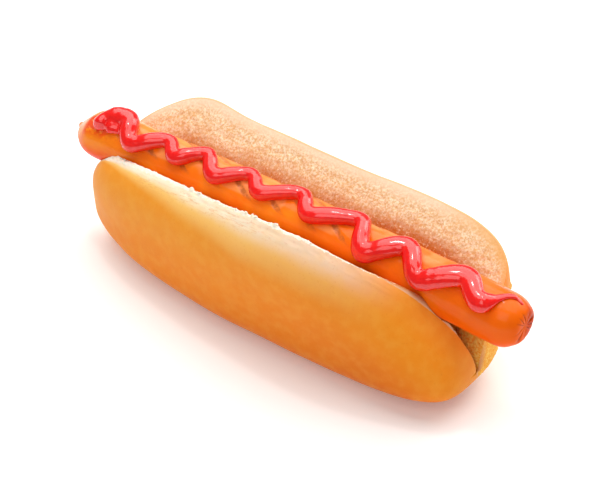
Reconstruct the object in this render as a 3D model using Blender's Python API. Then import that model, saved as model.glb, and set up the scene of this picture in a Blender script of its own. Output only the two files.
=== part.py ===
"""A hot dog: a soft bun opened along its slit, a frankfurter laid in it, and a piped zigzag of ketchup.

Metres, +Z up. X runs along the sausage, -Y is the side of the near half of the bun, and the origin
lies on the table under the middle of the slit. Three solids: bun, sausage, ketchup.
"""

import math
from collections import namedtuple

import bmesh
import bpy
import numpy as np
from mathutils import Vector

# The loaf before it was opened: slit from the top, almost down to its base.
BUN_LENGTH = 0.162
SLIT_DEPTH = 0.0486  # from the lips down to the root of the slit
UNCUT_DEPTH = 0.0117  # bread left joined below the root
WIDEST_HEIGHT = 0.0031  # the loaf is longest at this height above the root
LOWER_SQUARENESS = (2.4, 3.0)  # exponents of the outline below that height, at -X and at +X
TAPER_SQUARENESS = (2.05, 4.7)  # exponents of the thickness towards the ends, at -X and at +X
CRUST_SQUARENESS = 2.5  # exponent of the crust's section
SLIT_GAP = 0.0008  # between the cut faces where the slit is closed
WEB_SHARE = 0.8  # at the very ends the slit's root rises with the outline, and leaves a thin web

# The opened halves. Each leans away from the slit's plane, most of all at its lip. The lip's height comes
# and goes along the loaf: it is given as shares of the slit's depth, at equal steps from -X to +X.
Half = namedtuple("Half", "side lean thickness squareness lip_shares swell")
NEAR_LIP = (0.98, 0.83, 0.82, 0.90, 1.00, 1.055, 1.04, 0.89)
FAR_LIP = (1.00, 1.13, 1.06, 1.04, 1.035, 1.05, 1.05, 1.03)
NEAR = Half(-1, math.radians(38.5), 0.0232, (2.35, 1.9), NEAR_LIP, 0.0026)
FAR = Half(1, math.radians(58.0), 0.0246, (3.4, 5.9), FAR_LIP, 0.0)
LEAN_FALLOFF = 1.57  # above 1, the bend gathers near the root
SWELL_HEIGHT = 0.028  # where a cut face swells out against the sausage, above the root
SWELL_REACH = 0.015
LIP_WALL = 0.0004  # the crust stands at least this far outside the cut face
ROOT_HEIGHT = 0.0105  # above the table, a little less than the uncut depth: the soft base is flattened
TABLE_BLOCK = (0.3, 0.2, 0.1)  # what flattens it, larger than the loaf

# The sausage.
SAUSAGE_RADIUS = 0.0090
SAUSAGE_LENGTH = 0.184
SAUSAGE_SHIFT_X = 0.0050
SAUSAGE_Y = 0.0021
SAUSAGE_Z = 0.0391
SAUSAGE_BOW = 0.0020  # the middle lies this much further back than the ends
CAP_LENGTHS = (0.0110, 0.0080)  # at -X and at +X
CAP_SQUARENESS = 2.3
PUCKER_FOLDS = 8
PUCKER_DEPTH = 0.0006
PUCKER_DIMPLE = 0.0012  # how far the +X tip is drawn in
TIP_LENGTH = 0.0010  # the little point left at the -X end
FIT_GAP = 0.0004  # between pieces that touch

# The ketchup. Its turns are millimetres along the sausage from its middle, and degrees round it from
# straight up.
KETCHUP_WIDTH = 0.0054
KETCHUP_HEIGHT = 0.0034
TURN_RADIUS = 0.0024
CORNER_ROOM = 0.45  # a rounded corner takes at most this share of the strokes beside it
END_SHARE = 0.3  # height of the bead's two ends, as a share of its own
# The bead's section, as shares of half its width and of its height: over its top and back under it.
BEAD_TOP = [(-1, 0), (-0.8, 0.62), (-0.36, 0.93), (0.36, 0.93), (0.8, 0.62)]
BEAD_FOOT = [(1, 0), (0.5, 0), (0, 0), (-0.5, 0)]
KETCHUP_TURNS = [
    (-79, -55), (-82, -14), (-71, -1), (-66, -47), (-52, -4), (-47, -38), (-37, 6), (-30, -39),
    (-17.5, 2), (-11.5, -32), (3, 10), (8.5, -31), (27, 10), (33, -54), (46.5, 1), (55, -54),
    (69.5, -3), (77, -43), (85, -4), (89.5, -6),
]


def clear_scene():
    for obj in list(bpy.data.objects):
        bpy.data.objects.remove(obj)


def finish_of(name, colour, roughness):
    """A plain Principled material."""
    material = bpy.data.materials.new(name)
    material.use_nodes = True
    shader = material.node_tree.nodes["Principled BSDF"]
    shader.inputs["Base Color"].default_value = (*colour, 1.0)
    shader.inputs["Roughness"].default_value = roughness
    shader.inputs["Metallic"].default_value = 0.0
    return material


def object_from(name, points, faces):
    """A mesh object whose faces point outwards."""
    mesh = bpy.data.meshes.new(name)
    mesh.from_pydata([tuple(p) for p in points], [], faces)
    shape = bmesh.new()
    shape.from_mesh(mesh)
    bmesh.ops.recalc_face_normals(shape, faces=shape.faces)
    shape.to_mesh(mesh)
    shape.free()
    obj = bpy.data.objects.new(name, mesh)
    bpy.context.collection.objects.link(obj)
    return obj


def lofted(name, start, rings, end):
    """A closed skin over rings of equal count, gathered to one point at each end."""
    count = len(rings[0])
    points = [start] + [p for ring in rings for p in ring] + [end]
    last = len(points) - 1
    faces = []
    for i in range(count):
        j = (i + 1) % count
        faces.append((0, 1 + j, 1 + i))
        faces.append((last, last - count + i, last - count + j))
        for r in range(len(rings) - 1):
            a, b = 1 + r * count, 1 + (r + 1) * count
            faces.append((a + i, a + j, b + j, b + i))
    return object_from(name, points, faces)


def superellipse(share, exponent):
    """How much of the full size is left at this share of the way to the end."""
    return max(0.0, 1.0 - abs(share) ** exponent) ** (1.0 / exponent)


def smooth(share):
    share = min(max(share, 0.0), 1.0)
    return share * share * (3 - 2 * share)


def spline(values, along):
    """A Catmull-Rom curve through values at equal steps from -1 to 1."""
    place = (along + 1) / 2 * (len(values) - 1)
    i = min(int(place), len(values) - 2)
    s = place - i
    before, a, b, after = values[max(i - 1, 0)], values[i], values[i + 1], values[min(i + 2, len(values) - 1)]
    bend = (2 * before - 5 * a + 4 * b - after) * s * s + (3 * a - before - 3 * b + after) * s ** 3
    return a + 0.5 * ((b - before) * s + bend)


def boolean(obj, other, operation):
    modifier = obj.modifiers.new(operation.lower(), "BOOLEAN")
    modifier.operation = operation
    modifier.object = other
    modifier.solver = "EXACT"
    other.hide_render = True
    other.display_type = "WIRE"


# ---- bun


def face_lean(v, half):
    """Lean of the cut face at height v above the slit's root."""
    share = min(max(v / SLIT_DEPTH, 0.0), 1.0)
    return half.lean * (1.0 - (1.0 - share) ** LEAN_FALLOFF)


def face_line(v, half, steps=24):
    """Point of the cut face at height v, and the direction from it out to the crust, as (y, z) pairs."""
    y, z = 0.0, min(v, 0.0)
    if v > 0.0:
        step = v / steps
        for i in range(steps):
            lean = face_lean((i + 0.5) * step, half)
            y += math.sin(lean) * step
            z += math.cos(lean) * step
    lean = face_lean(v, half)
    return (half.side * y, z), (half.side * math.cos(lean), -math.sin(lean))


def bun_point(x, v, t, half):
    """A point of a half: along the loaf, up the cut face, and out towards the crust."""
    (y, z), (out_y, out_z) = face_line(v, half)
    return (x, y + out_y * t, ROOT_HEIGHT + z + out_z * t)


def face_offset(v, half):
    """How far the cut face stands from the half's middle sheet: half the gap out, less the swell."""
    return SLIT_GAP / 2 - half.swell * (1.0 - smooth(abs(v - SWELL_HEIGHT) / SWELL_REACH))


def bun_section(along, crust_steps=18, face_steps=12):
    """The closed outline across the loaf at this share of its half length: from the near lip round under
    the base to the far lip, down the far cut face to the root, and up the near one."""
    end = 0 if along < 0 else 1
    x = along * BUN_LENGTH / 2
    lower = (WIDEST_HEIGHT + UNCUT_DEPTH) * superellipse(along, LOWER_SQUARENESS[end])
    root = max(0.0, WIDEST_HEIGHT - WEB_SHARE * lower)
    crusts, faces = [], []
    for half in (NEAR, FAR):
        lip = SLIT_DEPTH * spline(half.lip_shares, along)
        upper = (lip - WIDEST_HEIGHT) * superellipse(along, half.squareness[end])
        thickness = half.thickness * superellipse(along, TAPER_SQUARENESS[end])
        crust, face = [], []
        for k in range(crust_steps + 1):
            turn = math.pi * k / crust_steps
            share = math.copysign(abs(math.cos(turn)) ** (2 / CRUST_SQUARENESS), math.cos(turn))
            v = WIDEST_HEIGHT + share * (upper if share > 0 else lower)
            t = thickness * abs(math.sin(turn)) ** (2 / CRUST_SQUARENESS)
            t = max(t, face_offset(v, half) + LIP_WALL) if k < crust_steps else 0.0
            crust.append(bun_point(x, v, t, half))
        for k in range(face_steps + 1):
            v = root + (WIDEST_HEIGHT + upper - root) * k / face_steps
            face.append(bun_point(x, v, face_offset(v, half) if k else 0.0, half))
        crusts.append(crust)
        faces.append(face)
    return crusts[0] + crusts[1][-2::-1] + faces[1][:0:-1] + faces[0]


def bun(stations=38):
    places = [-math.cos(math.pi * i / stations) for i in range(1, stations)]
    ends = [bun_point(x, WIDEST_HEIGHT, 0.0, NEAR) for x in (-BUN_LENGTH / 2, BUN_LENGTH / 2)]
    return lofted("bun", ends[0], [bun_section(along) for along in places], ends[1])


def table_cutter():
    """A block whose top is the table: what the soft base would sink into it is flattened."""
    length, width, depth = TABLE_BLOCK
    bpy.ops.mesh.primitive_cube_add(size=1.0, location=(0.0, 0.0, -depth / 2))
    block = bpy.context.object
    block.name = "table_cutter"
    block.scale = (length, width, depth)
    return block


# ---- sausage


def sausage_centre(x):
    """The sausage's middle line, bowed in the table's plane."""
    share = (x - SAUSAGE_SHIFT_X) / (SAUSAGE_LENGTH / 2)
    return Vector((x, SAUSAGE_Y + SAUSAGE_BOW * (0.5 - share * share), SAUSAGE_Z))


def cap_share(offset):
    """0 at the sausage's very end and 1 where its cap has grown into the body, at this place along it."""
    return min((SAUSAGE_LENGTH / 2 - abs(offset)) / CAP_LENGTHS[0 if offset < 0 else 1], 1.0)


def skin_radius(offset):
    return SAUSAGE_RADIUS * superellipse(1 - cap_share(offset), CAP_SQUARENESS)


def sausage(name, grow=0.0, around=32, along=14, cap_steps=7):
    """The body and its puckered ends. With grow it is the plain cutter that presses the groove."""
    half = SAUSAGE_LENGTH / 2
    left, right = ([length * (1 - math.cos(math.pi / 2 * i / cap_steps)) for i in range(1, cap_steps)]
                   for length in CAP_LENGTHS)
    body = np.linspace(-half + CAP_LENGTHS[0], half - CAP_LENGTHS[1], along)
    rings = []
    for offset in [-half + p for p in left] + list(body) + [half - p for p in reversed(right)]:
        centre = sausage_centre(offset + SAUSAGE_SHIFT_X)
        radius = skin_radius(offset)
        rim = math.sin(math.pi * radius / SAUSAGE_RADIUS)  # folds die out at the tip and on the body
        fold = 0.0 if grow else PUCKER_DEPTH * (1 - smooth(cap_share(offset))) * rim
        ring = []
        for k in range(around):
            a = 2 * math.pi * k / around
            r = radius + grow - fold * (1 + math.cos(PUCKER_FOLDS * a))
            ring.append(centre + Vector((0, math.sin(a) * r, math.cos(a) * r)))
        rings.append(ring)
    reach = (half + grow, half + grow) if grow else (half + TIP_LENGTH, half - PUCKER_DIMPLE)
    tips = [sausage_centre(SAUSAGE_SHIFT_X + end * length) for end, length in zip((-1, 1), reach)]
    return lofted(name, tips[0], rings, tips[1])


# ---- ketchup


def ketchup_line(step=0.0019):
    """The bead's middle line on the unrolled skin: strokes between turns, with rounded corners."""
    corners = [Vector((x / 1000, math.radians(a) * SAUSAGE_RADIUS)) for x, a in KETCHUP_TURNS]
    line = [corners[0]]
    for before, corner, after in zip(corners, corners[1:], corners[2:]):
        into, out = (corner - before).normalized(), (after - corner).normalized()
        half_turn = abs(into.angle_signed(out)) / 2
        room = CORNER_ROOM * min((corner - before).length, (after - corner).length)
        reach = min(TURN_RADIUS * math.tan(half_turn), room)
        start, end = corner - into * reach, corner + out * reach
        for k in range(7):
            s = k / 6
            line.append(start * (1 - s) ** 2 + corner * 2 * s * (1 - s) + end * s * s)
    line.append(corners[-1])
    lengths = np.cumsum([0.0] + [(b - a).length for a, b in zip(line, line[1:])])
    count = round(lengths[-1] / step)
    at = np.linspace(0, lengths[-1], count)
    xs, ss = (np.interp(at, lengths, [p[i] for p in line]) for i in (0, 1))
    return [Vector((x, s)) for x, s in zip(xs, ss)]


def on_sausage(x, s, height):
    """A point above the sausage's skin, from its place on the unrolled skin."""
    angle = s / SAUSAGE_RADIUS
    radius = skin_radius(x) + FIT_GAP + height
    out = Vector((0, math.sin(angle), math.cos(angle)))
    return sausage_centre(x + SAUSAGE_SHIFT_X) + out * radius


def ketchup():
    """A low round-topped bead, swept along its line over the skin."""
    line = ketchup_line()
    rings = []
    for i in range(1, len(line) - 1):
        forward = (line[i + 1] - line[i - 1]).normalized()
        sideways = Vector((-forward.y, forward.x))
        ring = []
        for u, h in BEAD_TOP + BEAD_FOOT:
            p = line[i] + sideways * u * KETCHUP_WIDTH / 2
            ring.append(on_sausage(p.x, p.y, h * KETCHUP_HEIGHT))
        rings.append(ring)
    ends = [on_sausage(p.x, p.y, END_SHARE * KETCHUP_HEIGHT) for p in (line[0], line[-1])]
    return lofted("ketchup", ends[0], rings, ends[1])


def main():
    clear_scene()
    bread = bun()
    boolean(bread, sausage("groove_cutter", grow=FIT_GAP), "DIFFERENCE")
    boolean(bread, table_cutter(), "DIFFERENCE")
    bread.data.materials.append(finish_of("crust", (0.80, 0.42, 0.13), 0.55))
    link = sausage("sausage")
    link.data.materials.append(finish_of("sausage skin", (0.78, 0.22, 0.05), 0.3))
    sauce = ketchup()
    sauce.data.materials.append(finish_of("ketchup", (0.70, 0.02, 0.01), 0.2))


main()
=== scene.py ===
# A hot dog on a pale table: a soft bun opened along its slit, a frankfurter, a piped zigzag of ketchup.
# Metres, +Z up. X runs along the sausage, and -Y is the side of the near half of the bun.

import math

import bpy
import numpy as np
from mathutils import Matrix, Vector, noise


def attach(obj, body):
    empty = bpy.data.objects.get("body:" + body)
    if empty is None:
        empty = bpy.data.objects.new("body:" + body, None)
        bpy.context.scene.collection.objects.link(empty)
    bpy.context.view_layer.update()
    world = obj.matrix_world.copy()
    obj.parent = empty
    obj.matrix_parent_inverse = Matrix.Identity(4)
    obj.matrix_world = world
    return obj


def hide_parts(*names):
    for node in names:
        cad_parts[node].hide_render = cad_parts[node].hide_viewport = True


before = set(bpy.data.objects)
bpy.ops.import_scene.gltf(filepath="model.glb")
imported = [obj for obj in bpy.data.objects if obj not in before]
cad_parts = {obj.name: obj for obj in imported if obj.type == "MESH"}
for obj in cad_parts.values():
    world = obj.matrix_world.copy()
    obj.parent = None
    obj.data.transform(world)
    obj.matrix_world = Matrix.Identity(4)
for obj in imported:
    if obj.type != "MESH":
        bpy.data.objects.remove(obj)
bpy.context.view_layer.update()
print("frame loaded")


# Node maths written as Python.
class Wire:
    def __init__(self, graph, socket):
        self.graph = graph
        self.socket = socket

    def math(self, operation, *others):
        return self.graph.math(operation, self, *others)

    def other(self, name):  # another output of the same node
        return Wire(self.graph, self.socket.node.outputs[name])

    def __add__(self, value):
        return self.math("ADD", value)

    def __sub__(self, value):
        return self.math("SUBTRACT", value)

    def __mul__(self, value):
        return self.math("MULTIPLY", value)

    def __truediv__(self, value):
        return self.math("DIVIDE", value)

    def __pow__(self, value):
        return self.math("POWER", value)

    def __rsub__(self, value):
        return self.graph.math("SUBTRACT", value, self)

    __radd__ = __add__
    __rmul__ = __mul__


class Graph:
    def __init__(self, tree):
        self.tree = tree

    def node(self, kind, settings=None, sockets=None, output=0):
        made = self.tree.nodes.new(kind)
        for name, value in (settings or {}).items():
            setattr(made, name, value)
        for name, value in (sockets or {}).items():
            self.feed(made.inputs[name], value)
        return Wire(self, made.outputs[output])

    def feed(self, socket, value):
        if isinstance(value, Wire):
            self.tree.links.new(value.socket, socket)
        else:
            socket.default_value = value

    def math(self, operation, *values):
        return self.node("ShaderNodeMath", {"operation": operation}, dict(enumerate(values)))

    def ramp(self, value, low, high, shape="SMOOTHSTEP"):  # 0 at low, 1 at high
        sockets = {"Value": value, "From Min": low, "From Max": high}
        return self.node("ShaderNodeMapRange", {"interpolation_type": shape}, sockets)

    def between(self, value, low, lowFull, highFull, high):  # 1 from lowFull to highFull
        return self.ramp(value, low, lowFull) * self.ramp(value, high, highFull)

    def xyz(self, place):
        x = self.node("ShaderNodeSeparateXYZ", {}, {0: place})
        return x, x.other("Y"), x.other("Z")

    def joined(self, x, y, z):
        return self.node("ShaderNodeCombineXYZ", {}, {0: x, 1: y, 2: z})

    def drawnOut(self, place, share):  # a pattern on it runs longer along X
        return self.node("ShaderNodeVectorMath", {"operation": "MULTIPLY"}, {0: place, 1: (share, 1, 1)})

    def scaled(self, vector, factor):
        return self.node("ShaderNodeVectorMath", {"operation": "SCALE"}, {0: vector, "Scale": factor})

    def clouds(self, place, scale, detail=2.0, roughness=0.5):
        sockets = {"Vector": place, "Scale": scale, "Detail": detail, "Roughness": roughness}
        return self.node("ShaderNodeTexNoise", {}, sockets)

    def blend(self, mask, a, b):  # colours
        return self.node("ShaderNodeMix", {"data_type": "RGBA"}, {0: mask, 6: a, 7: b}, 2)

    def painted(self, colour, layers):  # each layer is a mask and the colour it lays over what is there
        for mask, over in layers:
            colour = self.blend(mask, colour, over)
        return colour

    def position(self):
        return self.node("GeometryNodeInputPosition")

    def named(self, name):  # a number stored on the points
        return self.node("GeometryNodeInputNamedAttribute", {"data_type": "FLOAT"}, {"Name": name})

    def stored(self, shape, name, value):
        sockets = {"Geometry": shape, "Name": name, "Value": value}
        return self.node("GeometryNodeStoreNamedAttribute", {}, sockets)

    def placed(self, shape, place):
        return self.node("GeometryNodeSetPosition", {}, {"Geometry": shape, "Position": place})

    def shifted(self, shape, offset):
        return self.node("GeometryNodeSetPosition", {}, {"Geometry": shape, "Offset": offset})

    def blurred(self, value, times):  # places, evened out with their neighbours
        sockets = {"Value": value, "Iterations": times}
        return self.node("GeometryNodeBlurAttribute", {"data_type": "FLOAT_VECTOR"}, sockets)


def tint(red, green, blue):
    def linear(value):
        value = value / 255
        return value / 12.92 if value <= 0.04045 else ((value + 0.055) / 1.055) ** 2.4

    return (linear(red), linear(green), linear(blue), 1.0)


def finishOf(name, plain):
    material = bpy.data.materials.new(name)
    material.use_nodes = True
    graph = Graph(material.node_tree)
    shader = material.node_tree.nodes["Principled BSDF"]
    for socket, value in plain.items():
        shader.inputs[socket].default_value = value
    return material, graph, shader


def objectPlace(graph):
    return graph.node("ShaderNodeTexCoord", {}, {}, "Object")


def attribute(graph, name):
    return graph.node("ShaderNodeAttribute", {"attribute_name": name}, {}, "Fac")


def bumpOf(graph, strength, distance, height):
    return graph.node("ShaderNodeBump", {}, {"Strength": strength, "Distance": distance, "Height": height})


def meshFrom(name, points, edges, faces):
    mesh = bpy.data.meshes.new(name)
    mesh.from_pydata([tuple(p) for p in points], edges, faces)
    mesh.update()
    return mesh


def pieceFrom(name, mesh, material=None):
    piece = bpy.data.objects.new(name, mesh)
    bpy.context.scene.collection.objects.link(piece)
    if material:
        mesh.materials.clear()
        mesh.materials.append(material)
    return piece


def addAttribute(mesh, name, values):
    layer = mesh.attributes.new(name, "FLOAT", "POINT")
    layer.data.foreach_set("value", np.asarray(values, np.float32))


def superellipse(share, exponent):
    return max(0.0, 1.0 - abs(share) ** exponent) ** (1.0 / exponent)


def smooth(share):
    share = np.clip(share, 0.0, 1.0)
    return share * share * (3 - 2 * share)


def between(value, low, lowFull, highFull, high):  # 1 from lowFull to highFull, on numbers
    return smooth((value - low) / (lowFull - low)) * (1 - smooth((value - highFull) / (high - highFull)))


def spline(values, along):  # a smooth curve through evenly spaced values, for along from -1 to 1
    place = (along + 1) / 2 * (len(values) - 1)
    i = min(int(place), len(values) - 2)
    s = place - i
    before, a, b = values[max(i - 1, 0)], values[i], values[i + 1]
    after = values[min(i + 2, len(values) - 1)]
    bend = (2 * before - 5 * a + 4 * b - after) * s * s + (3 * a - before - 3 * b + after) * s ** 3
    return a + 0.5 * ((b - before) * s + bend)


# Trees of geometry nodes: every number of a piece's dictionary is a named input of its tree.
def newTree(name, values):
    tree = bpy.data.node_groups.new(name, "GeometryNodeTree")
    tree.interface.new_socket("Geometry", in_out="INPUT", socket_type="NodeSocketGeometry")
    labels = [label for label, value in values.items() if isinstance(value, (int, float))]
    for label in labels:
        kind = "NodeSocketInt" if isinstance(values[label], int) else "NodeSocketFloat"
        tree.interface.new_socket(label, in_out="INPUT", socket_type=kind)
    tree.interface.new_socket("material", in_out="INPUT", socket_type="NodeSocketMaterial")
    tree.interface.new_socket("Geometry", in_out="OUTPUT", socket_type="NodeSocketGeometry")
    graph = Graph(tree)
    start = graph.node("NodeGroupInput")
    return graph, start, {label: start.other(label) for label in labels + ["material"]}


def closeTree(graph, shape, material):
    shape = graph.node("GeometryNodeRealizeInstances", {}, {0: shape})
    shape = graph.node("GeometryNodeSetMaterial", {}, {"Geometry": shape, "Material": material})
    last = graph.tree.nodes.new("NodeGroupOutput")
    graph.tree.links.new(shape.socket, last.inputs[0])


def grown(name, graph, values, material, startMesh):
    holder = bpy.data.objects.new(name + "Start", startMesh)
    bpy.context.scene.collection.objects.link(holder)
    modifier = holder.modifiers.new(name, "NODES")
    modifier.node_group = graph.tree
    given = dict(values, material=material)
    for item in graph.tree.interface.items_tree:
        if item.in_out == "INPUT" and item.name in given:
            modifier[item.identifier] = given[item.name]
    evaluated = holder.evaluated_get(bpy.context.evaluated_depsgraph_get())
    mesh = bpy.data.meshes.new_from_object(evaluated)
    holder.modifiers.remove(modifier)
    bpy.data.objects.remove(holder)
    mesh.name = name
    mesh.shade_smooth()
    return pieceFrom(name, mesh)


# The sausage: a grid of places round and along it, wrapped into a tube with two unlike ends.
sausageValues = {
    "length": 0.1865,
    "radius": 0.0090,
    "shiftX": 0.0047,  # where its middle lies
    "middleY": 0.0021,
    "middleZ": 0.0391,
    "bow": 0.0020,  # the middle lies this much further back than the ends
    "leftCap": 0.0110,
    "rightCap": 0.0098,
    "capSquareness": 2.2,
    "folds": 11,  # creases drawn in to the right end
    "foldDepth": 0.00075,
    "beltDepth": 0.00022,  # a crease round the right end
    "dimple": 0.0014,
    "endRise": 0.0011,  # the puckered end is drawn a little upwards
    "tip": 0.0014,  # the little point at the left end
    "shoulder": 0.0024,  # how much the left end slants off at its top
    "lumpDepth": 0.00042,
    "wrinkleDepth": 0.00007,
    "scoreStep": 0.0134,  # from one score mark to the next
    "scoreShift": 0.0066,
    "scoreSlant": 0.0140,  # how far a mark runs along for each radian round
    "scoreDepth": 0.00022,
    "around": 150,
    "along": 600,
    "skin": tint(253, 120, 8),
    "lightSkin": tint(255, 140, 20),
    "rightSkin": tint(242, 96, 2),
    "paintedHighlights": tint(255, 172, 108),  # painted highlights: peach patches of sheen
    "specks": tint(232, 92, 10),
    # painted shade: the lower side is painted darker and redder
    "underside": tint(236, 44, 1),
    "score": tint(176, 92, 46),
    "smear": tint(236, 30, 4),  # ketchup rubbed thin
    # a painted highlight on the slanted top of the left end
    "paintedGleam": tint(255, 184, 156),
    "pucker": tint(232, 84, 4),
    # painted shade on the far side of the puckered end
    "puckerShade": tint(196, 56, 0),
    # painted shade in the creases of the puckered end
    "shadedCrease": tint(92, 16, 2),
}


def centreY(x, size):  # works on numbers and on wires
    share = (x - size["shiftX"]) / (size["length"] / 2)
    return size["middleY"] + size["bow"] * (0.5 - share * share)


def skinRadius(offset, size):  # on numbers, at this place along the sausage
    cap = size["leftCap"] if offset < 0 else size["rightCap"]
    share = min((size["length"] / 2 - abs(offset)) / cap, 1.0)
    return size["radius"] * superellipse(1 - share, size["capSquareness"]) if share > 0 else 0.0


def buildSausage(material):
    g, start, size = newTree("sausageTube", sausageValues)
    quarter = math.pi / 2
    leftPart, rightPart = 0.16, 0.20  # shares of the profile's points that the caps take
    sockets = {"Size X": 1.0, "Size Y": 2.0, "Vertices X": size["around"] + 1, "Vertices Y": size["along"]}
    grid = g.node("GeometryNodeMeshGrid", {}, sockets)
    across, up = g.xyz(g.position())[:2]
    turn = across * (2 * math.pi)  # round the sausage from straight up
    power = 2 / sausageValues["capSquareness"]
    left = g.ramp(up, -1 + leftPart, -1, "LINEAR") * quarter  # 0 on the body, a quarter turn at the pole
    right = g.ramp(up, 1 - rightPart, 1, "LINEAR") * quarter
    middle = g.ramp(up, -1 + leftPart, 1 - rightPart, "LINEAR")
    half = size["length"] / 2
    bodyStart = size["leftCap"] - half
    bodyEnd = half - size["rightCap"]
    x = bodyStart + (bodyEnd - bodyStart) * middle
    x = x - size["leftCap"] * left.math("SINE") ** power + size["rightCap"] * right.math("SINE") ** power
    taper = left.math("COSINE").math("MAXIMUM", 0.0) * right.math("COSINE").math("MAXIMUM", 0.0)
    r = size["radius"] * taper ** power

    # The right end: creases drawn in to a dimple, and one crease round it.
    wobble = turn + 0.25 * (turn * 2 + 1.0).math("SINE") + 0.10 * (turn * 5 + right * 3).math("SINE")
    shadedCrease = (0.5 + 0.5 * (wobble * size["folds"]).math("COSINE")) ** 12
    shadedCrease = shadedCrease * (0.6 + 0.4 * (turn * 3 + 1).math("COSINE"))
    folds = shadedCrease * (g.ramp(right, 0.75, 1.35) * (1 - g.ramp(right, 1.46, 1.565)))
    belt = ((right - 0.62) / 0.16) ** 2.0
    belt = (0 - belt).math("EXPONENT") * (0.6 + 0.4 * (turn - 1.0).math("SINE"))
    sink = size["foldDepth"] * folds + size["beltDepth"] * belt
    x = x - sink * right.math("SINE") - size["dimple"] * g.ramp(right, 0.85, 1.54)
    r = r - sink * right.math("COSINE")

    # The left end: a little point, and a shoulder that slants off at the top.
    x = x - size["tip"] * g.ramp(left, 1.36, 1.57)
    slant = g.between(left, 0.05, 0.8, 1.1, 1.5) * (0.5 + 0.5 * (turn - 0.3).math("COSINE"))
    r = r - size["shoulder"] * slant

    # Lumps, and slanting score marks either side of the top.
    y = turn.math("SINE")
    z = turn.math("COSINE")
    plain = g.joined(x, y * size["radius"], z * size["radius"])
    body = g.ramp(right, 0.5, 0.1) * g.ramp(left, 0.6, 0.1)
    lumps = g.clouds(g.drawnOut(plain, 0.6), 85.0, 1.0) - 0.5
    wrinkles = g.clouds(g.drawnOut(plain, 0.35), 330.0, 1.0) - 0.5
    r = r + body * (size["lumpDepth"] * lumps * 2 + size["wrinkleDepth"] * wrinkles)
    slope = x + size["scoreSlant"] * turn + size["scoreShift"]
    marks = ((slope / size["scoreStep"]).math("FRACT") - 0.5).math("ABSOLUTE") * size["scoreStep"]
    stretch = g.between(turn.math("ABSOLUTE"), 0.10, 0.25, 0.72, 1.02)
    stretch = stretch * g.between(x, -0.074, -0.070, 0.020, 0.045)
    uneven = 0.0012 * (g.clouds(plain, 420.0, 2.0) - 0.5)
    score = g.ramp(marks + uneven, 0.0021, 0.0012) * stretch * body
    r = (r - size["scoreDepth"] * score).math("MAXIMUM", 0.0)

    farX = x + size["shiftX"]
    middleZ = size["middleZ"] + size["endRise"] * g.ramp(right, 0.2, 1.5)
    place = g.joined(farX, centreY(farX, size) + y * r, middleZ + z * r)
    # A painted highlight band on the slanted shoulder of the left end.
    paintedGleam = g.between(left, 0.35, 0.6, 0.75, 1.0) * g.between(turn, -1.1, -0.75, 0.05, 0.35)
    pucker = g.ramp(right, 0.3, 1.3)
    shape = grid
    for name, value in (("score", score), ("paintedGleam", paintedGleam), ("pucker", pucker), ("shadedCrease", folds)):
        shape = g.stored(shape, name, value)
    shape = g.placed(shape, place)
    shape = g.node("GeometryNodeMergeByDistance", {}, {"Geometry": shape, "Distance": 0.000002})
    shape = g.node("GeometryNodeFlipFaces", {}, {"Mesh": shape})
    closeTree(g, shape, size["material"])
    return grown("frankfurter", g, sausageValues, material, bpy.data.meshes.new("empty"))


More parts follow.
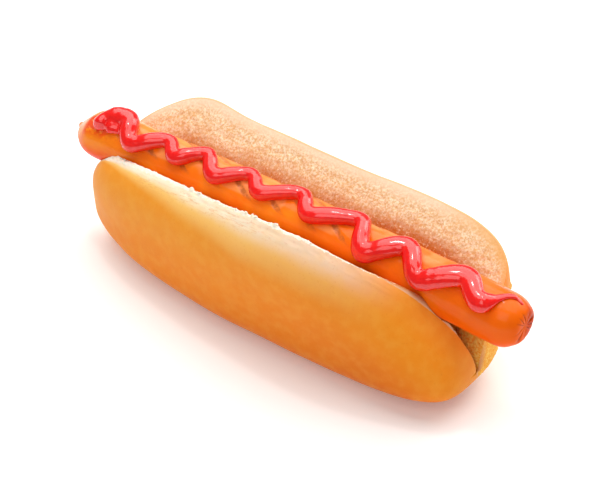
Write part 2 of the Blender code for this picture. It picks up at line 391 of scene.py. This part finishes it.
def sausageFinish():
    size = sausageValues
    plain = {"IOR": 1.42, "Specular IOR Level": 0.06, "Coat Roughness": 0.12, "Coat IOR": 1.42,
             "Subsurface Weight": 0.06, "Subsurface Scale": 0.003, "Subsurface Radius": (1.0, 0.35, 0.12)}
    material, g, shader = finishOf("sausageSkin", plain)
    place = objectPlace(g)
    x, y, height = g.xyz(place)
    side = (centreY(x, size) - y) / size["radius"]  # 1 at the near side, -1 at the far side
    pucker = attribute(g, "pucker")
    patches = g.ramp(g.clouds(g.drawnOut(place, 0.7), 120.0, 3.0), 0.35, 0.68)
    islands = g.ramp(g.clouds(place, 95.0, 1.0), 0.44, 0.54)
    # Peach patches of painted highlight, on the near side and along the top.
    nearHighlights = g.between(side, -0.4, 0.1, 0.68, 0.76) * g.ramp(x, 0.05, 0.02) * islands
    topHighlights = g.between(side, -0.8, -0.4, 0.15, 0.35) * g.ramp(x, 0.088, 0.080) * (0.4 + 0.6 * islands)
    specks = g.ramp(g.clouds(place, 1500.0, 2.0), 0.60, 0.78)
    # Painted shade: darker and redder below the middle, less so towards the right end.
    low = g.ramp(height, size["middleZ"] + 0.003, size["middleZ"] - 0.006)
    low = low * (1 - 0.65 * g.ramp(x, 0.04, 0.075))
    browned = g.ramp(g.clouds(place, 900.0, 2.0), 0.3, 0.6)
    smear = g.between(x, -0.0835, -0.081, -0.073, -0.069) * g.between(side, 0.05, 0.3, 0.7, 0.98)
    smear = smear * g.ramp(g.clouds(place, 420.0, 3.0), 0.42, 0.55)
    colour = g.painted(size["skin"], [
        (patches, size["lightSkin"]),
        (g.ramp(x, -0.02, 0.08) * 0.75, size["rightSkin"]),
        (nearHighlights.math("MAXIMUM", topHighlights) * 0.5, size["paintedHighlights"]),
        (specks * 0.3, size["specks"]),
        (low * 0.9, size["underside"]),
        (attribute(g, "score") * (0.35 + 0.4 * browned), size["score"]),
        (smear * 0.75, size["smear"]),
        (attribute(g, "paintedGleam") * 0.55, size["paintedGleam"]),
        (pucker * 0.5, size["pucker"]),
        # Painted shade on the far side of the puckered end.
        (pucker * g.ramp(side, 0.1, -0.35) * 0.85, size["puckerShade"]),
        # Painted shade in the creases of the puckered end.
        (attribute(g, "shadedCrease") * 0.95, size["shadedCrease"]),
    ])
    g.feed(shader.inputs["Base Color"], colour)
    wrinkles = g.clouds(g.drawnOut(place, 0.3), 1400.0, 3.0)
    pores = g.clouds(place, 3200.0, 2.0)
    g.feed(shader.inputs["Normal"], bumpOf(g, 0.25, 0.0002, wrinkles + 0.3 * pores))
    g.feed(shader.inputs["Roughness"], 0.3 + 0.12 * patches)
    top = g.ramp(height, size["middleZ"] - 0.003, size["middleZ"] + 0.004)
    dulled = (1 - 0.95 * pucker) * (1 - 0.4 * g.ramp(x, 0.01, 0.06))  # towards the puckered end
    g.feed(shader.inputs["Coat Weight"], (0.1 + 0.55 * top) * dulled)
    return material


sausage = buildSausage(sausageFinish())
print("sausage made:", len(sausage.data.polygons), "faces")


# The bun: rings across it, each going down the near crust, round the base, up the far crust and back
# along both cut faces. Lengths are measured up the cut face from the root of the slit.
bunValues = {
    "length": 0.162,
    "slitDepth": 0.0486,  # from the lips down to the root of the slit
    "uncutDepth": 0.0117,
    "widestHeight": 0.0031,
    "lowerSquareness": (2.4, 3.0),  # at the left end and at the right end
    "taperSquareness": (2.05, 4.7),
    "crustSquareness": 2.5,
    "slitGap": 0.0008,
    "webShare": 0.8,  # how much of the bread below the slit is left whole
    "leanFalloff": 1.57,
    "swellHeight": 0.028,
    "swellReach": 0.015,
    "rootHeight": 0.0105,
    "stations": 200,  # for each half of the length
    "settle": 0.0007,  # how softly the base flattens on the table
    "sausageRoom": 0.00015,
    "crustLumps": 0.00055,  # heights and depths of the relief, from here on
    "crustRipples": 0.00012,
    "flakes": 0.00026,
    "faceLumps": 0.0003,
    "crumbs": 0.00022,
    "grains": 0.00013,
    "pits": 0.00045,
    "tornLip": 0.00045,
    "bursts": 0.0022,
    "tornHinge": 0.0013,
}
nearHalf = {
    "side": -1,
    "lean": math.radians(38.5),
    "thickness": 0.0232,
    "squareness": (2.35, 1.9),
    "lips": (0.98, 0.865, 0.85, 0.91, 1.00, 1.05, 1.04, 0.89),  # how high the lip rises, along the bun
    "leftReach": 1.0,
    "swell": 0.0026,
    "crustSteps": 46,
    "faceSteps": 60,
    "crustEvenness": 0.22,  # under 1, the points gather at the lip
    "faceEvenness": 0.4,
}
farHalf = {
    "side": 1,
    "lean": math.radians(58.0),
    "thickness": 0.0246,
    "squareness": (3.9, 5.9),
    "lips": (0.95, 1.13, 1.06, 1.04, 1.035, 1.05, 1.05, 1.03),
    "leftReach": 0.965,  # its upper part ends a little before the loaf does
    "swell": 0.0,
    "crustSteps": 38,
    "faceSteps": 96,
    "crustEvenness": 0.3,
    "faceEvenness": 0.85,
}


def faceLine(half):  # how far out and up the cut face runs, and its lean, against the height up it
    heights = np.linspace(0.0, bunValues["slitDepth"] * 1.3, 600)
    share = np.clip(heights / bunValues["slitDepth"], 0.0, 1.0)
    lean = half["lean"] * (1 - (1 - share) ** bunValues["leanFalloff"])
    step = heights[1]
    out = np.concatenate([[0.0], np.cumsum(np.sin(lean[:-1]) * step)])
    up = np.concatenate([[0.0], np.cumsum(np.cos(lean[:-1]) * step)])
    return heights, out, up, lean


def bunPoint(v, t, half):  # across and up, from the height up the cut face and the way out to the crust
    heights, out, up, lean = half["line"]
    tilt = np.interp(v, heights, lean)
    y = np.interp(v, heights, out) + np.cos(tilt) * t
    z = np.where(v > 0, np.interp(v, heights, up), v) - np.sin(tilt) * t
    return np.stack([half["side"] * y, bunValues["rootHeight"] + z], 1)


def faceOffset(v, half):
    bulge = 1 - smooth(np.abs(v - bunValues["swellHeight"]) / bunValues["swellReach"])
    return bunValues["slitGap"] / 2 - half["swell"] * bulge


def spaced(line, steps, evenness):  # the same line with its points gathered at its start
    lengths = np.concatenate([[0.0], np.cumsum(np.linalg.norm(np.diff(line, axis=0), axis=1))])
    share = np.linspace(0, 1, steps + 1)
    want = lengths[-1] * (evenness * share + (1 - evenness) * share ** 2.2)
    return np.stack([np.interp(want, lengths, line[:, c]) for c in (0, 1)], 1), want


def halfSection(along, half):  # from the lip: down the crust to the base, and down the cut face to the root
    size = bunValues
    end = 0 if along < 0 else 1
    lower = (size["widestHeight"] + size["uncutDepth"]) * superellipse(along, size["lowerSquareness"][end])
    root = max(0.0, size["widestHeight"] - size["webShare"] * lower)
    lip = size["slitDepth"] * spline(half["lips"], along)
    reach = half["leftReach"] if along < 0 else 1.0
    upper = lip - size["widestHeight"]
    upper = upper * superellipse(min(abs(along) / reach, 1.0), half["squareness"][end])
    thickness = half["thickness"] * superellipse(along, size["taperSquareness"][end])
    turn = np.linspace(0, math.pi, 260)
    power = 2 / size["crustSquareness"]
    share = np.sign(np.cos(turn)) * np.abs(np.cos(turn)) ** power
    v = size["widestHeight"] + np.where(share > 0, upper, lower) * share
    t = thickness * np.abs(np.sin(turn)) ** power
    t = np.maximum(t, faceOffset(v, half))
    t[-1] = 0.0
    crust, crustArc = spaced(bunPoint(v, t, half), half["crustSteps"], half["crustEvenness"])
    v = np.linspace(size["widestHeight"] + upper, root, 160)
    t = faceOffset(v, half)
    t[-1] = 0.0
    face, faceArc = spaced(bunPoint(v, t, half), half["faceSteps"], half["faceEvenness"])
    return crust, crustArc, face, faceArc


def bunSection(along):  # one closed ring, with its signed distance from the lip (+ on the crust)
    crustN, crustArcN, faceN, faceArcN = halfSection(along, nearHalf)
    crustF, crustArcF, faceF, faceArcF = halfSection(along, farHalf)
    ring = np.concatenate([crustN, crustF[-2:0:-1], faceF, faceN[-2:0:-1]])
    arcs = np.concatenate([crustArcN, crustArcF[-2:0:-1], -faceArcF, -faceArcN[-2:0:-1]])
    return ring, arcs


def lumpy(points, scale, shift):
    return np.array([noise.noise(Vector(p) * scale + Vector(shift)) for p in points])


def surfaceNormals(grid):
    alongWay = np.gradient(grid, axis=0)
    roundWay = np.roll(grid, -1, 1) - np.roll(grid, 1, 1)
    normal = np.cross(alongWay, roundWay)
    normal = normal / np.maximum(np.linalg.norm(normal, axis=2, keepdims=True), 1e-12)
    upwards = normal[len(grid) // 2, 3, 2]  # on the crust beside the near lip, where out is up
    return normal if upwards > 0 else -normal


def breadRelief(flat, lip, far):  # how far each point is pushed out, and its share of three kinds of place
    size = bunValues
    x, y, z = flat.T
    inside = smooth(-lip / 0.0006)  # 1 on the cut faces
    outside = 1 - inside

    # The crust: broad soft lumps, and low flaky ridges that follow the near lip.
    broad = lumpy(flat, 38.0, (3, 1, 7))
    ripples = lumpy(flat, 120.0, (9, 4, 2))
    push = outside * (size["crustLumps"] * broad + size["crustRipples"] * ripples)
    followed = np.stack([x * 130, lip * 620, far * 9], 1)
    ridges = 1 - 2 * np.abs(lumpy(followed, 1.0, (5, 5, 5)))
    band = between(lip, 0.0, 0.0012, 0.003, 0.0075) * (1 - far)
    push += size["flakes"] * ridges * band * (0.35 + 0.65 * between(x, -0.055, -0.025, 0.045, 0.075))

    # The cut faces: open crumb, smoother in a band below the far rim.
    crumbs = lumpy(flat, 420.0, (2, 8, 1))
    grains = lumpy(flat, 950.0, (7, 3, 6))
    rough = inside * np.where(far > 0, smooth((-lip - 0.002) / 0.006), 1.0)
    pits = np.zeros(len(flat))
    pitReach = 0.36  # in cells of the pattern
    for i in np.flatnonzero(rough > 0.05):
        nearest = noise.voronoi(Vector(flat[i]) * 520.0)[0][0]
        pits[i] = max(0.0, pitReach - nearest) / pitReach
    push += rough * (size["crumbs"] * crumbs + size["grains"] * grains - size["pits"] * pits)
    push += inside * size["faceLumps"] * broad

    # The lips: the near one is torn to ragged crumb.
    torn = lumpy(flat, 330.0, (1, 2, 9)) + 0.6 * lumpy(flat, 800.0, (4, 9, 3))
    calm = 1 - 0.7 * smooth((x - 0.02) / 0.03)
    edge = (1 - smooth(np.abs(lip + 0.0003) / 0.0011)) * (1 - far) * calm
    bursts = smooth((lumpy(flat * (1, 0, 0), 150.0, (8, 5, 3)) + 0.05) / 0.3)
    bursts = bursts * between(x, -0.04, -0.02, 0.035, 0.055)
    push += edge * (size["tornLip"] * torn + size["bursts"] * bursts * np.maximum(torn, 0))

    # The right end, below the sausage, is torn down to the hinge.
    low = between(z, 0.004, 0.008, 0.033, 0.037)
    hinge = smooth((x - 0.068 + 0.004 * torn) / 0.002) * low * far
    hinge = hinge * smooth((0.024 - y + 0.008 * torn) / 0.005)
    push += hinge * outside * size["tornHinge"] * torn
    loose = edge * (0.06 + bursts) * smooth(torn / 0.3) + 0.05 * hinge
    return push, hinge, loose


def pressedAndSettled(flat):  # pressed round the sausage, and settled on the table
    size = bunValues
    around = sausageValues
    axisY = centreY(flat[:, 0], around)
    radius = np.array([skinRadius(v - around["shiftX"], around) for v in flat[:, 0]])
    away = np.stack([flat[:, 1] - axisY, flat[:, 2] - around["middleZ"]], 1)
    gap = np.linalg.norm(away, axis=1)
    limit = radius + size["sausageRoom"]
    soft = 0.0003  # how round the edge of the groove is
    pressed = (gap + limit + np.sqrt((gap - limit) ** 2 + soft * soft)) / 2
    grow = pressed / np.maximum(gap, 1e-6)
    touched = gap < limit + 0.004
    flat[:, 1] = np.where(touched, axisY + away[:, 0] * grow, flat[:, 1])
    flat[:, 2] = np.where(touched, around["middleZ"] + away[:, 1] * grow, flat[:, 2])
    flat[:, 2] = (flat[:, 2] + np.sqrt(flat[:, 2] ** 2 + size["settle"] ** 2)) / 2
    return flat


def buildBun(material):
    size = bunValues
    for half in (nearHalf, farHalf):
        half["line"] = faceLine(half)
    steps = size["stations"]
    share = np.arange(-steps + 1, steps) / steps
    places = 1.25 * share - 0.25 * share ** 5  # closer together towards the ends
    sections = [bunSection(along) for along in places]
    x = places * size["length"] / 2
    across = np.array([ring for ring, arcs in sections])
    lip = np.array([arcs for ring, arcs in sections])
    rings, count = lip.shape
    grid = np.concatenate([np.repeat(x[:, None, None], count, 1), across], 2)
    far = np.zeros((rings, count))
    farStart = nearHalf["crustSteps"] + 1
    far[:, farStart:farStart + farHalf["crustSteps"] + farHalf["faceSteps"]] = 1
    normal = surfaceNormals(grid).reshape(-1, 3)
    flat = grid.reshape(-1, 3)
    lip = lip.reshape(-1)
    far = far.reshape(-1)
    ends = smooth((1 - np.abs(np.repeat(places, count))) / 0.05)  # 0 at the two tips
    push, hinge, loose = breadRelief(flat, lip, far)
    flat = pressedAndSettled(flat + normal * (push * (0.2 + 0.8 * ends))[:, None])

    tipHeight = size["rootHeight"] + size["widestHeight"]
    tips = [(end * size["length"] / 2, 0.0, tipHeight) for end in (-1, 1)]
    points = np.concatenate([flat, np.array(tips)])
    last = len(flat)
    faces = []
    for r in range(rings - 1):
        a, b = r * count, (r + 1) * count
        faces += [(a + i, a + (i + 1) % count, b + (i + 1) % count, b + i) for i in range(count)]
    for i in range(count):
        j = (i + 1) % count
        faces.append((last, j, i))
        faces.append((last + 1, last - count + i, last - count + j))
    mesh = meshFrom("bread", points, [], faces)
    tipLip = 0.02  # about how far the two tips are from the lip
    stored = (("lip", lip, tipLip), ("far", far, 0), ("hinge", hinge, 0), ("loose", loose * ends, 0))
    for name, values, atTips in stored:
        addAttribute(mesh, name, np.append(values, [atTips, atTips]))
    mesh.shade_smooth()
    return pieceFrom("bread", mesh, material)


breadTints = {
    "lip": tint(255, 240, 212),
    "honey": tint(255, 204, 118),
    "golden": tint(244, 154, 42),
    "rightLip": tint(254, 166, 40),
    "side": tint(242, 138, 14),
    "underside": tint(226, 112, 8),
    "rightSide": tint(230, 118, 8),
    "rightUnderside": tint(206, 88, 4),
    "mottle": tint(255, 192, 84),
    "freckles": tint(214, 106, 22),
    "flakes": tint(236, 166, 90),
    "cream": tint(246, 230, 200),
    "tan": tint(220, 172, 116),
    "tanDrifts": tint(220, 154, 80),
    # deeper in towards the sausage: toasted crumb and painted shade
    "deepToastAndShade": tint(184, 96, 18),
    "rightDeepToastAndShade": tint(184, 84, 2),
    "paleGrains": tint(246, 224, 190),
    "rim": tint(244, 220, 190),
    "rightRim": tint(232, 178, 104),
    "rimEdge": tint(228, 176, 120),
    "torn": tint(255, 250, 236),
    "tornTan": tint(254, 226, 182),
    # painted shade on the torn lip's inner face beside the sausage
    "tornLipShade": tint(206, 128, 58),
    "hinge": tint(255, 210, 108),
    "hingeTan": tint(244, 154, 40),
}


def crustColour(g, place, x, lip, far, drift, bare):  # pale at the lip, golden, and browner below
    c = breadTints
    fromLip = (lip + drift * 0.5) / (0.12 + 1.15 * g.ramp(x, -0.070, 0.005, "LINEAR")) + 4 * far
    mottle = g.ramp(g.clouds(place, 260.0, 3.0), 0.35, 0.75)
    freckles = g.ramp(g.clouds(place, 1300.0, 2.0), 0.58, 0.8)
    along = g.joined(x * 70, lip * 0.6, far * 9)
    lines = g.ramp((g.clouds(along, 1.0, 3.0, 0.6) - 0.5).math("ABSOLUTE"), 0.025, 0.0)
    flaky = g.between(lip, 1.2, 2.5, 4.0, 7.0) * g.between(x, -0.062, -0.045, 0.0, 0.03) * (1 - far)
    return g.painted(c["lip"], [
        (g.ramp(fromLip, 2.5, 8.0), c["honey"]),
        (g.ramp(fromLip, 6.0, 15.0), c["golden"]),
        (bare, c["rightLip"]),
        (g.ramp(lip + drift, 14.0, 34.0), c["side"]),
        (g.ramp(lip + drift, 32.0, 60.0), c["underside"]),
        (g.ramp(x, -0.03, 0.08) * 0.55, c["rightSide"]),
        (g.ramp(x, 0.02, 0.07) * g.ramp(lip, 18.0, 45.0) * 0.6, c["rightUnderside"]),
        (mottle * 0.18, c["mottle"]),
        (freckles * 0.22, c["freckles"]),
        (lines * flaky * 0.5, c["flakes"]),
    ])


def crumbColour(g, place, x, depth, far, drift, toast, rim):  # cream toasted to tan, darker deeper in with toast and painted shade, paler by the far rim
    c = breadTints
    drifts = g.ramp(g.clouds(place, 170.0, 3.0), 0.40, 0.70)
    shaded = depth + drift * 0.6 - 3.0 * g.ramp(x, -0.01, -0.055)
    grains = g.ramp(g.clouds(place, 1100.0, 2.0, 0.7), 0.55, 0.66) * g.ramp(depth, 5.0, 9.0)
    torn = g.painted(c["torn"], [
        (toast * 0.4, c["tornTan"]),
        # Towards the right, painted shade on the torn lip's inner face beside the sausage.
        (g.ramp(x, 0.02, 0.05) * g.ramp(depth, -0.3, 0.3), c["tornLipShade"]),
    ])
    return g.painted(c["cream"], [
        (toast, c["tan"]),
        (drifts * 0.3, c["tanDrifts"]),
        # Darker deeper in towards the sausage: toasted crumb and painted shade, more so at the right.
        (g.ramp(shaded, 7.0, 18.0) * 0.9, c["deepToastAndShade"]),
        (g.ramp(x, 0.0, 0.06) * g.ramp(depth, 10.0, 17.0) * 0.7, c["rightDeepToastAndShade"]),
        (grains * (0.6 - 0.3 * g.ramp(depth, 10.0, 18.0)), c["paleGrains"]),
        (rim * 0.8, g.blend(g.ramp(x, 0.04, 0.075), c["rim"], c["rightRim"])),
        (g.ramp(depth, 0.9, 0.2) * far * 0.7, c["rimEdge"]),
        (g.ramp(depth, 3.0, 0.5) * (1 - far), torn),
    ])


def bunFinish():
    c = breadTints
    plain = {"Specular IOR Level": 0.12, "Subsurface Weight": 0.10, "Subsurface Scale": 0.003,
             "Subsurface Radius": (1.0, 0.45, 0.18)}
    material, g, shader = finishOf("bread", plain)
    place = objectPlace(g)
    x = g.xyz(place)[0]
    lip = attribute(g, "lip") * 1000  # millimetres from the lip, negative on the cut faces
    depth = 0 - lip
    far = attribute(g, "far")
    hinge = attribute(g, "hinge")
    drift = 5 * (g.clouds(place, 45.0, 2.0) - 0.5)
    bare = 0.96 * g.ramp(x, 0.035, 0.062)  # towards the right end the lip has no pale band
    toast = g.ramp(g.clouds(place, 1200.0, 4.0, 0.75), 0.36, 0.62)
    rim = g.ramp(depth + drift * 0.4, 6.5, 0.5) * far
    crust = crustColour(g, place, x, lip, far, drift, bare)
    crumb = crumbColour(g, place, x, depth, far, drift, toast, rim)
    crumb = g.blend(hinge, crumb, g.blend(toast, c["hinge"], c["hingeTan"]))

    # Where crumb shows: on the cut faces, at the torn hinge, and raggedly over the near lip.
    middle = g.between(x, -0.055, -0.03, 0.025, 0.045)
    uneven = 2.2 * (g.clouds(place, 620.0, 3.0) - 0.5) - 0.4 * middle
    ragged = g.ramp(lip + uneven + 0.8 * bare, 0.6, 0.3) * (1 - far)
    mask = ragged.math("MAXIMUM", g.ramp(depth, -0.1, 0.1)).math("MAXIMUM", hinge)
    g.feed(shader.inputs["Base Color"], g.blend(mask, crust, crumb))
    g.feed(shader.inputs["Roughness"], 0.46 + mask * 0.44)
    skin = g.clouds(place, 900.0, 3.0) * 0.35 + g.clouds(place, 2600.0, 2.0) * 0.12
    pores = g.clouds(place, 900.0, 4.0, 0.7) * (1 - 0.7 * rim)
    height = skin * (1 - mask) * 0.4 + pores * mask * 1.2
    g.feed(shader.inputs["Normal"], bumpOf(g, 0.3, 0.0005, height))
    return material


breadMaterial = bunFinish()
bread = buildBun(breadMaterial)
print("bun made:", len(bread.data.polygons), "faces")


# Loose crumbs, scattered where the bread is torn.
crumbValues = {
    "size": 0.00036,
    "thickest": 9.0e6,  # crumbs to a square metre on the torn lip
    "jag": 0.0005,
    "seed": 11,
}


def buildCrumbs(material):
    g, entry, size = newTree("looseCrumbs", crumbValues)
    sockets = {"Mesh": entry, "Density": g.named("loose") * size["thickest"], "Seed": size["seed"]}
    points = g.node("GeometryNodeDistributePointsOnFaces", {}, sockets)
    turned = points.other("Rotation")
    points = g.stored(points, "lip", g.named("lip").math("MINIMUM", -0.0007))  # all have the look of crumb
    ball = g.node("GeometryNodeMeshIcoSphere", {}, {"Radius": size["size"], "Subdivisions": 1})
    jag = (g.clouds(g.position(), 3000.0, 1.0) - 0.5) * size["jag"]
    ball = g.shifted(ball, g.scaled(g.node("GeometryNodeInputNormal"), jag))
    sockets = {"Min": (0.5, 0.5, 0.35), "Max": (1.5, 1.2, 0.9), "Seed": size["seed"] + 1}
    scale = g.node("FunctionNodeRandomValue", {"data_type": "FLOAT_VECTOR"}, sockets)
    sockets = {"Points": points, "Instance": ball, "Rotation": turned, "Scale": scale}
    flakes = g.node("GeometryNodeInstanceOnPoints", {}, sockets)
    closeTree(g, flakes, size["material"])
    return grown("breadCrumbs", g, crumbValues, material, bread.data.copy())


crumbs = buildCrumbs(breadMaterial)
print("crumbs made:", len(crumbs.data.polygons), "faces")


# The ketchup: a bead swept along flat lines, wrapped round the skin and melted together.
ketchupValues = {
    "width": 0.0056,
    "height": 0.0044,
    "sink": 0.0005,  # how far its underside reaches into the skin
    "roundness": 0.45,  # 0 for a dome, 1 for a whole round cord
    "cornerRadius": 0.0026,
    "easing": 18,  # how softly the turns flow into the strokes
    "wander": 0.2,  # how much its girth varies
    "lumpHeight": 0.00024,
    "voxel": 0.00024,
    "smoothing": 12,
    "red": tint(238, 4, 0),
    "pulpRed": tint(248, 16, 2),
    "thinRed": tint(232, 50, 12),
}
for name in ("radius", "length", "shiftX", "middleY", "middleZ", "bow", "leftCap", "rightCap"):
    ketchupValues[name] = sausageValues[name]
# Each line has points of four numbers: millimetres along the sausage from its middle, degrees round it from
# straight up, and the bead's girth and its height as shares of the plain bead's.
ketchupLines = [
    [(-79, -52, 0.5, 0.35), (-80.5, -22, 1.1, 0.8), (-77, 0, 1.2, 1), (-70, 2, 1.2, 1),
     (-65.5, -52, 1.05, 1), (-51.5, 0, 0.9, 1), (-46.5, -43, 1.0, 1), (-36.5, 10, 0.9, 1),
     (-29.5, -44, 1.0, 1), (-17, 6, 0.85, 1), (-11, -37, 0.95, 1), (3.5, 14, 0.9, 1),
     (9, -36, 1.0, 1), (27.5, 14, 0.95, 1), (33.5, -60, 1.15, 1), (47, 4, 1.2, 0.85),
     (55.5, -59, 1.1, 0.95), (70, -2, 1.35, 0.75), (78.5, -50, 1.15, 0.85), (82.5, -18, 0.6, 0.6),
     (85.5, 8, 0.45, 0.6), (88.5, 14, 0.4, 0.5), (91, 4, 0.35, 0.4)],
    [(-80, -26, 0.8, 0.4), (-76, -16, 1.5, 0.5), (-71, -16, 1.2, 0.5), (-68.5, -24, 0.6, 0.4)],
]


def ketchupStart():  # the lines laid out flat, with the way round as Y
    points, edges, girth, flatness = [], [], [], []
    for line in ketchupLines:
        first = len(points)
        for along, degrees, wide, high in line:
            points.append((along / 1000, math.radians(degrees) * sausageValues["radius"], 0.0))
            girth.append(wide)
            flatness.append(high)
        edges += [(i, i + 1) for i in range(first, len(points) - 1)]
    mesh = meshFrom("ketchupLines", points, edges, [])
    addAttribute(mesh, "girth", girth)
    addAttribute(mesh, "flatness", flatness)
    return mesh


def buildKetchup(material):
    g, entry, size = newTree("ketchupBead", ketchupValues)
    place = g.position()

    # A round-topped bead along lines with softened turns.
    curve = g.node("GeometryNodeMeshToCurve", {}, {"Mesh": entry})
    sockets = {"Curve": curve, "Count": 8, "Radius": size["cornerRadius"], "Limit Radius": True}
    curve = g.node("GeometryNodeFilletCurve", {"mode": "POLY"}, sockets)
    curve = g.node("GeometryNodeResampleCurve", {"mode": "LENGTH"}, {"Curve": curve, "Length": 0.0005})
    curve = g.placed(curve, g.blurred(place, size["easing"]))
    curve = g.node("GeometryNodeSetCurveNormal", {"mode": "Z_UP"}, {"Curve": curve})
    scale = g.named("girth") * (1 + size["wander"] * (g.clouds(place, 200.0, 1.0) - 0.5))
    sockets = {"Resolution": 28, "Radius": 1.0}
    circle = g.node("GeometryNodeCurvePrimitiveCircle", {"mode": "RADIUS"}, sockets)
    cx, cy = g.xyz(place)[:2]
    high = (cy + size["roundness"]) / (1 + size["roundness"]) * size["height"]
    high = high.math("MAXIMUM", 0 - size["sink"])
    profile = g.placed(circle, g.joined(cx * size["width"] / 2, 0 - high, 0.0))  # the sweep turns -Y up
    sockets = {"Curve": curve, "Profile Curve": profile, "Scale": scale, "Fill Caps": True}
    bead = g.node("GeometryNodeCurveToMesh", {}, sockets)

    # The flat bead is wrapped round the skin.
    x, s, h = g.xyz(place)
    half = size["length"] / 2
    power = sausageValues["capSquareness"]

    def arch(end, cap):  # 0 at the pole, 1 where the cap meets the body
        share = g.ramp(end / cap, 0.0, 1.0, "LINEAR")
        return (1 - (1 - share) ** power).math("MAXIMUM", 0.0) ** (1 / power)

    skin = size["radius"] * arch(x + half, size["leftCap"]) * arch(half - x, size["rightCap"])
    r = skin + (h.math("MAXIMUM", 0.0) * g.named("flatness") + h.math("MINIMUM", 0.0))
    angle = s / size["radius"]
    farX = x + size["shiftX"]
    y = centreY(farX, size) + angle.math("SINE") * r
    bead = g.placed(bead, g.joined(farX, y, size["middleZ"] + angle.math("COSINE") * r))

    # Crossing turns are melted into one skin, evened out and given soft lumps.
    sockets = {"Mesh": bead, "Voxel Size": size["voxel"], "Interior Band Width": 0.0012}
    volume = g.node("GeometryNodeMeshToVolume", {"resolution_mode": "VOXEL_SIZE"}, sockets)
    sockets = {"Volume": volume, "Threshold": 0.1}
    melted = g.node("GeometryNodeVolumeToMesh", {"resolution_mode": "GRID"}, sockets)
    melted = g.placed(melted, g.blurred(place, size["smoothing"]))
    lumps = (g.clouds(place, 190.0, 1.0) - 0.5) * size["lumpHeight"]
    melted = g.shifted(melted, g.scaled(g.node("GeometryNodeInputNormal"), lumps))
    x, y, z = g.xyz(place)
    dy = y - centreY(x, size)
    dz = z - size["middleZ"]
    melted = g.stored(melted, "above", (dy * dy + dz * dz) ** 0.5 - size["radius"])
    closeTree(g, melted, size["material"])
    return grown("ketchupBead", g, ketchupValues, material, ketchupStart())


def ketchupFinish():
    plain = {"IOR": 1.5, "Specular IOR Level": 0.5, "Coat Weight": 0.65, "Coat Roughness": 0.03,
             "Subsurface Weight": 0.10, "Subsurface Scale": 0.0015, "Subsurface Radius": (1.0, 0.12, 0.05)}
    material, g, shader = finishOf("ketchup", plain)
    place = objectPlace(g)
    above = attribute(g, "above") * 1000  # millimetres from the sausage's skin
    pulp = g.ramp(g.clouds(place, 700.0, 3.0), 0.35, 0.7)
    thin = g.ramp(above + 0.4 * (g.clouds(place, 900.0, 2.0) - 0.5), 1.0, 0.1)
    layers = [(pulp, ketchupValues["pulpRed"]), (thin * 0.6, ketchupValues["thinRed"])]
    g.feed(shader.inputs["Base Color"], g.painted(ketchupValues["red"], layers))
    g.feed(shader.inputs["Roughness"], 0.14 + 0.06 * pulp)
    g.feed(shader.inputs["Normal"], bumpOf(g, 0.05, 0.0003, g.clouds(place, 900.0, 1.0)))
    return material


ketchup = buildKetchup(ketchupFinish())
print("ketchup made:", len(ketchup.data.polygons), "faces")


# The setting: a pale table, soft boxes and the camera.
settingValues = {
    "floor": 8.0,
    "floorColour": (0.93, 0.93, 0.93, 1.0),
    "floorGlow": 0.14,
    "white": (1.0, 0.99, 0.98, 1.0),
    "sky": 0.26,
    "camera": (37.06, 38.03, 0.6455),  # degrees round, degrees up, metres away
    "lens": 112.9,
    "aim": (0.0093, 0.0036, 0.0286),
    "lampAim": (0.0, 0.0, 0.03),
    "softboxes": {  # place, size, power, colour
        "overhead": ((-0.15, 0.42, 1.12), 1.7, 20.5, (1.0, 0.985, 0.965)),
        "spark": ((-0.22, 0.12, 1.10), 0.10, 1.4, (1.0, 1.0, 1.0)),
        "back": ((0.45, 1.25, 0.75), 0.9, 6.0, (1.0, 0.98, 0.95)),
        "front": ((0.15, -1.1, 1.35), 1.0, 6.0, (1.0, 0.985, 0.96)),
    },
}


def buildSetting():
    values = settingValues
    half = values["floor"] / 2
    corners = [(-half, -half, 0), (half, -half, 0), (half, half, 0), (-half, half, 0)]
    plain = {"Base Color": values["floorColour"], "Roughness": 0.9, "Specular IOR Level": 0.1,
             "Emission Color": values["white"], "Emission Strength": values["floorGlow"]}
    mesh = meshFrom("floor", corners, [], [(0, 1, 2, 3)])
    floor = pieceFrom("floor", mesh, finishOf("paleTable", plain)[0])
    for name, (place, size, power, colour) in values["softboxes"].items():
        light = bpy.data.lights.new(name, "AREA")
        light.energy = power
        light.size = size
        light.color = colour
        lamp = bpy.data.objects.new(name, light)
        lamp.location = place
        lamp.rotation_euler = (Vector(values["lampAim"]) - Vector(place)).to_track_quat("-Z", "Y").to_euler()
        bpy.context.scene.collection.objects.link(lamp)
    world = bpy.data.worlds.new("studio")
    world.use_nodes = True
    sky = world.node_tree.nodes["Background"]
    sky.inputs["Color"].default_value = values["white"]
    sky.inputs["Strength"].default_value = values["sky"]
    bpy.context.scene.world = world
    bpy.context.scene.view_settings.view_transform = "Standard"


def buildCamera():
    around, up, distance = settingValues["camera"]
    around, up = math.radians(around), math.radians(up)
    back = Vector((math.sin(around) * math.cos(up), -math.cos(around) * math.cos(up), math.sin(up)))
    data = bpy.data.cameras.new("camera")
    data.lens = settingValues["lens"]
    data.sensor_width = 36.0
    camera = bpy.data.objects.new("camera", data)
    camera.location = Vector(settingValues["aim"]) + back * distance
    camera.rotation_euler = back.to_track_quat("Z", "Y").to_euler()
    bpy.context.scene.collection.objects.link(camera)
    bpy.context.scene.camera = camera


buildSetting()
buildCamera()
print("setting made")

for piece, node in ((bread, "bun"), (sausage, "sausage"), (ketchup, "ketchup")):
    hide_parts(node)
for piece, slot in ((bread, "bun"), (crumbs, "bun"), (sausage, "sausage"), (ketchup, "ketchup")):
    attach(piece, "root")
